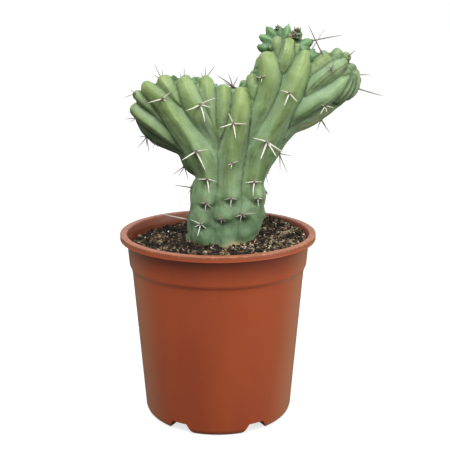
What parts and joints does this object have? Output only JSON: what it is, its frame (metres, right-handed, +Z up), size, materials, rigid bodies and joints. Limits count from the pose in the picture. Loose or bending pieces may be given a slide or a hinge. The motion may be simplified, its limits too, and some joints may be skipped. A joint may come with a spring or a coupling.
{
  "type": "crested cactus in a pot",
  "caption": "Crested columnar cactus with a fan-shaped, ribbed and spined crest, standing in soil in a round flat-based nursery pot.",
  "frame": {"origin": "centre of the pot's flat base, on the surface that it stands on", "axes": "+Z up along the pot's axis; +X along the crest towards its long high end; -Y towards the viewer of the crest's broad near face"},
  "size_m": [0.2235, 0.17, 0.3385],
  "materials": {
    "terracotta_plastic": "moulded plastic in terracotta brown, softly matt with a satin lip",
    "soil": "dark crumbly potting soil with fibres and white perlite",
    "cactus_skin": "waxy green plant skin with a blue-grey bloom, yellower on the rib tips",
    "spine": "dry ivory spines, grey-brown at the root and the point",
    "areole_felt": "short grey-brown felt at the root of the spines",
    "perlite": "matt white grains"
  },
  "bodies": {
    "root": {"nursery_pot": "terracotta_plastic", "potting_soil": "soil", "crested_cactus": "cactus_skin"}
  },
  "joints": []
}
